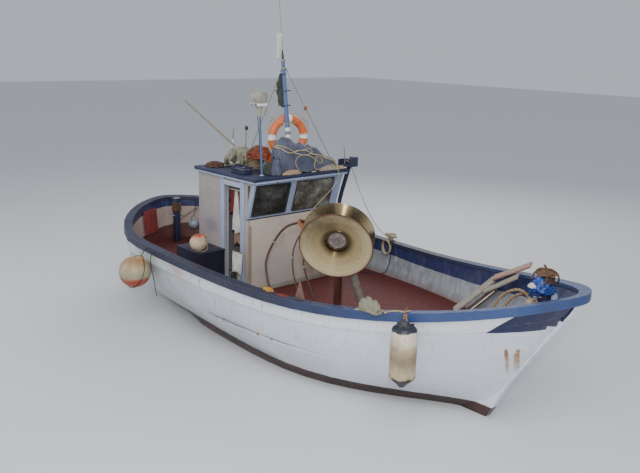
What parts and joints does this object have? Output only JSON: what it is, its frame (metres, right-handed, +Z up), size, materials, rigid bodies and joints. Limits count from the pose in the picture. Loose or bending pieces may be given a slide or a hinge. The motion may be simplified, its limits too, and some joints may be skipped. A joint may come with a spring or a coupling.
{
  "type": "small inshore fishing boat with wheelhouse and net hauler",
  "caption": "Wooden inshore fishing boat with a wheelhouse aft of midships, a V-sheave net hauler on its starboard side, mast, lamp, lifebuoy and fishing gear, afloat.",
  "frame": {"origin": "on the centreline, amidships, at the waterline", "axes": "+X to the bow, +Y to port, +Z up"},
  "size_m": [7.8, 3.516, 5.6705],
  "materials": {
    "white_paint": "worn white gloss paint on planks",
    "blue_paint": "worn blue paint on wood",
    "dark_blue_paint": "dull dark blue paint",
    "light_blue_paint": "light blue paint",
    "cream_paint": "cream paint",
    "beige_paint": "beige paint",
    "red_brown_paint": "red-brown deck paint",
    "antifouling": "dark antifouling paint",
    "bare_wood": "weathered wood",
    "stainless": "brushed stainless steel",
    "iron": "painted and rusty iron",
    "bronze": "bronze",
    "orange_plastic": "faded orange",
    "cream_plastic": "grimy cream plastic",
    "rubber": "dull black rubber",
    "net": "heaped net",
    "tarp": "blue-grey tarpaulin",
    "rope": "laid rope",
    "glass": "clear glass, salty"
  },
  "bodies": {
    "boat": {"hull": "white_paint", "sheer_strake": "white_paint", "keel_and_stem": "antifouling", "rail": "blue_paint", "deck": "red_brown_paint", "wall_starboard": "beige_paint", "wall_port": "cream_paint", "wall_aft": "beige_paint", "wall_front": "cream_paint", "windscreen_frame": "light_blue_paint", "pane_starboard": "glass", "pane_port": "glass", "roof": "dark_blue_paint", "sole": "bare_wood", "console": "bare_wood", "engine": "iron", "locker": "dark_blue_paint", "mast": "light_blue_paint", "aerial": "cream_plastic", "lamp_pole": "blue_paint", "floodlight": "cream_plastic", "lifebuoy": "orange_plastic", "roof_tarp": "tarp", "net_heap": "net", "hauler_motor": "iron", "hauler_column": "iron", "hose_thick": "rubber", "hose_thin": "rubber", "gallows_post": "blue_paint", "gallows_head": "dark_blue_paint", "fender": "cream_plastic", "quarter_float": "orange_plastic", "plank_long": "bare_wood", "bow_platform": "blue_paint", "bow_bitt": "blue_paint", "stern_bitt": "dark_blue_paint", "stay_aft": "iron", "stay_port": "iron", "rub_starboard": "white_paint", "rub_port": "white_paint", "pane_side": "glass", "pane_aft": "glass", "cork_net": "net", "rope_heap": "rope", "gaff": "bare_wood", "hose_low": "rubber", "hauler_pipe": "iron", "locker_float": "orange_plastic", "stern_float": "cream_plastic", "plank_upper": "bare_wood", "plank_brown": "bare_wood"},
    "sheave": {"sheave": "stainless"},
    "propeller": {"propeller": "bronze"},
    "rudder": {"rudder": "antifouling"},
    "door": {"door": "light_blue_paint"},
    "steering_wheel": {"steering_wheel": "bare_wood"},
    "engine_hatch": {"engine_hatch": "red_brown_paint"},
    "locker_lid": {"locker_lid": "blue_paint"}
  },
  "joints": [
    {"name": "sheave_spin", "type": "hinge", "parent": "boat", "child": "sheave", "pos_m": [1.76, -1.3, 1.956], "axis": [0.5967, -0.7311, -0.3309], "continuous": true},
    {"name": "propeller_spin", "type": "hinge", "parent": "boat", "child": "propeller", "pos_m": [-3.085, 0, -0.372], "axis": [1, 0, 0], "continuous": true},
    {"name": "rudder_turn", "type": "hinge", "parent": "boat", "child": "rudder", "pos_m": [-3.29, 0, -0.3], "axis": [0, 0, 1], "range_deg": [-35, 35]},
    {"name": "steering_wheel_turn", "type": "hinge", "parent": "boat", "child": "steering_wheel", "pos_m": [-0.87, 0.35, 1.3], "axis": [1, 0, 0], "range_deg": [-540, 540]},
    {"name": "door_slide", "type": "slide", "parent": "boat", "child": "door", "axis": [1, 0, 0], "range_m": [0, 0.38]},
    {"name": "engine_hatch_lift", "type": "hinge", "parent": "boat", "child": "engine_hatch", "pos_m": [-2.006, 0, 0.767], "axis": [0, 1, 0], "range_deg": [0, 95]},
    {"name": "locker_lid_lift", "type": "hinge", "parent": "boat", "child": "locker_lid", "pos_m": [-1.35, -0.802, 1.206], "axis": [-1, 0, 0], "range_deg": [0, 90]}
  ],
  "couplings": [
    {"joint": "steering_wheel_turn", "follows": "rudder_turn", "ratio": 15.4}
  ]
}
